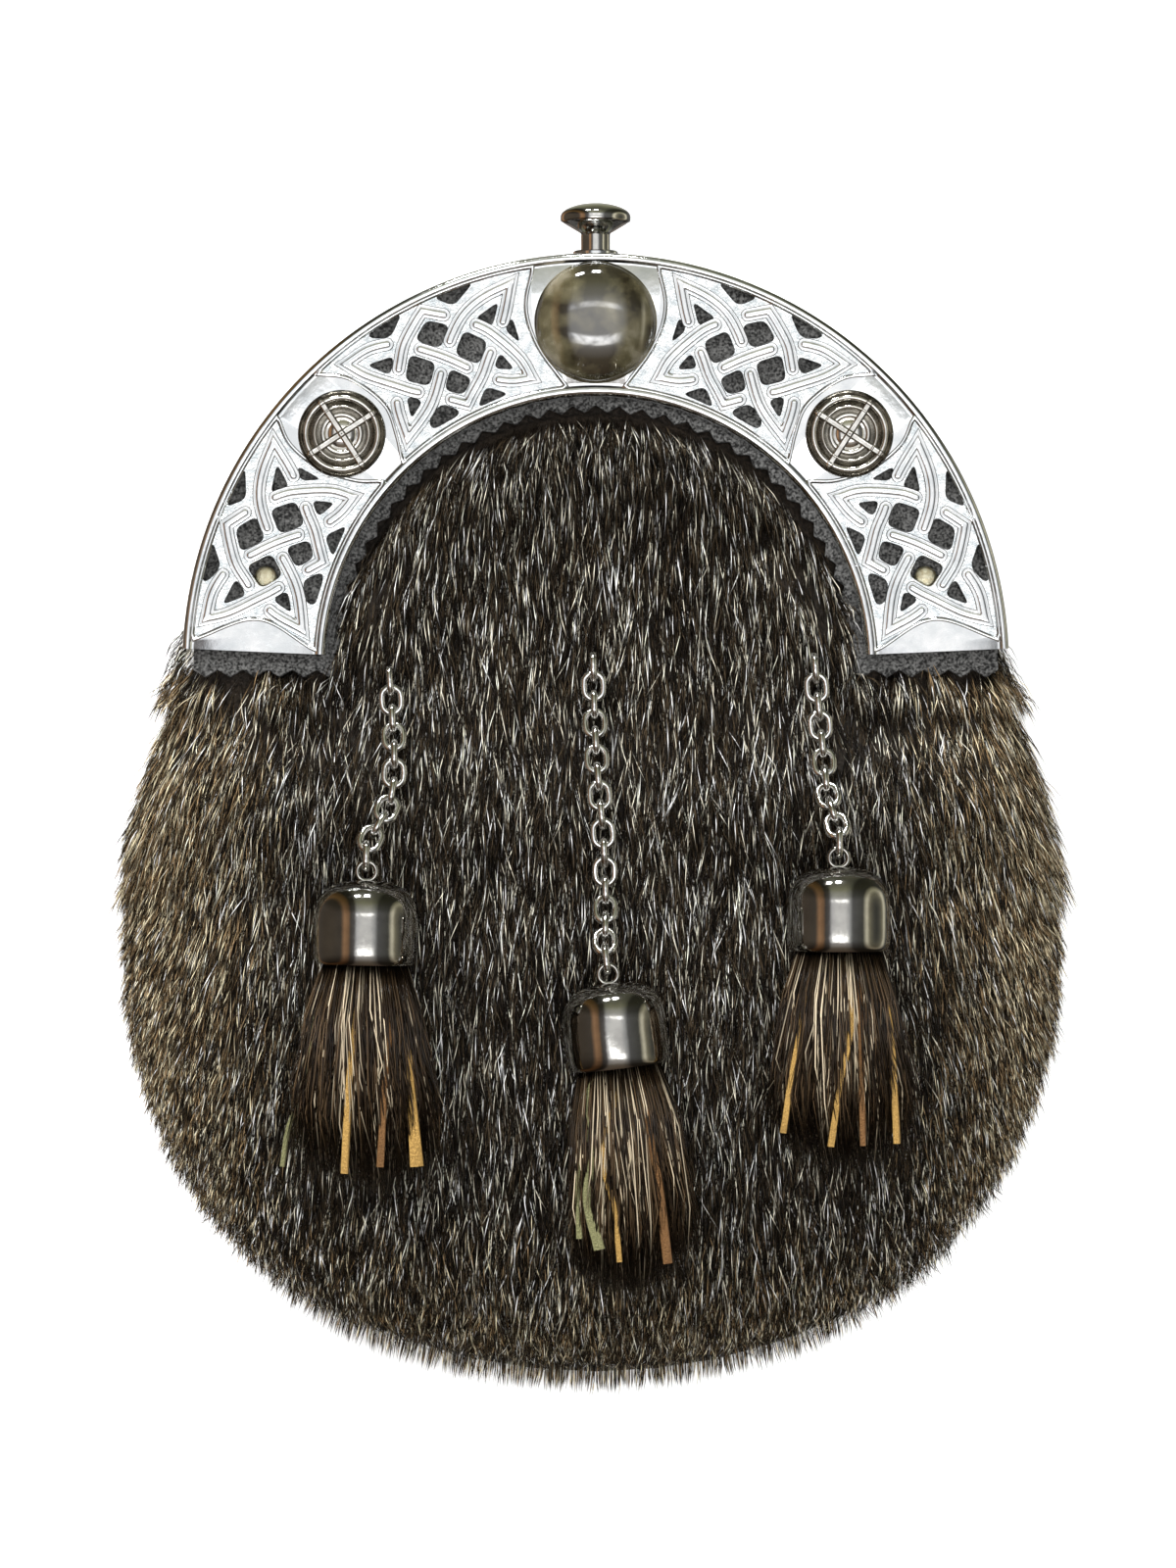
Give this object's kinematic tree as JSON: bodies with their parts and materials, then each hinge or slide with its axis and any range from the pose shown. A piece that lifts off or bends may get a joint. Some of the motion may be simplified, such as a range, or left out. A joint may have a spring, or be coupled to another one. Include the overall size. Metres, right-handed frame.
{
  "type": "sporran pouch",
  "caption": "Dress sporran pouch with a fur front, a pierced arched metal cantle, a push-knob clasp, and chained fur tassels.",
  "frame": {"origin": "on the surface the pouch lies on, below the middle of its bounding box", "axes": "+Z out of the pouch's front, +Y towards the clasp knob at the top, +X to the right as seen from the front"},
  "size_m": [0.184, 0.2346, 0.0597],
  "materials": {
    "fur": "long hair",
    "leather": "grained",
    "silver_plate": "polished, antiqued in the recesses",
    "hematite": "dark mirror",
    "gunmetal": "dark mirror",
    "rivet_metal": "pale, dull"
  },
  "bodies": {
    "pouch": {"back_panel": "leather", "boss_left": "gunmetal", "boss_right": "gunmetal", "cantle": "silver_plate", "cantle_backing": "leather", "center_dome": "hematite", "chain_left_link_01": "gunmetal", "chain_left_link_02": "gunmetal", "chain_left_link_03": "gunmetal", "chain_left_link_04": "gunmetal", "chain_left_link_05": "gunmetal", "chain_left_link_06": "gunmetal", "chain_left_link_07": "gunmetal", "chain_left_link_08": "gunmetal", "chain_left_link_09": "gunmetal", "chain_left_link_10": "gunmetal", "chain_left_link_11": "gunmetal", "chain_middle_link_01": "gunmetal", "chain_middle_link_02": "gunmetal", "chain_middle_link_03": "gunmetal", "chain_middle_link_04": "gunmetal", "chain_middle_link_05": "gunmetal", "chain_middle_link_06": "gunmetal", "chain_middle_link_07": "gunmetal", "chain_middle_link_08": "gunmetal", "chain_middle_link_09": "gunmetal", "chain_middle_link_10": "gunmetal", "chain_middle_link_11": "gunmetal", "chain_middle_link_12": "gunmetal", "chain_middle_link_13": "gunmetal", "chain_middle_link_14": "gunmetal", "chain_middle_link_15": "gunmetal", "chain_middle_link_16": "gunmetal", "chain_middle_link_17": "gunmetal", "chain_right_link_01": "gunmetal", "chain_right_link_02": "gunmetal", "chain_right_link_03": "gunmetal", "chain_right_link_04": "gunmetal", "chain_right_link_05": "gunmetal", "chain_right_link_06": "gunmetal", "chain_right_link_07": "gunmetal", "chain_right_link_08": "gunmetal", "chain_right_link_09": "gunmetal", "chain_right_link_10": "gunmetal", "chain_right_link_11": "gunmetal", "fur_front": "fur", "gusset": "leather", "rivet_left": "rivet_metal", "rivet_right": "rivet_metal", "strap_loop_left": "leather", "strap_loop_right": "leather", "tassel_cap_left": "gunmetal", "tassel_cap_middle": "gunmetal", "tassel_cap_right": "gunmetal", "tassel_fur_left": "fur", "tassel_fur_middle": "fur", "tassel_fur_right": "fur"},
    "knob": {"clasp_knob": "gunmetal"}
  },
  "joints": [
    {"name": "knob_press", "type": "slide", "parent": "pouch", "child": "knob", "axis": [0, -1, 0], "range_m": [0, 0.003], "stiffness_N_per_m": 400, "springref_m": -0.002}
  ]
}
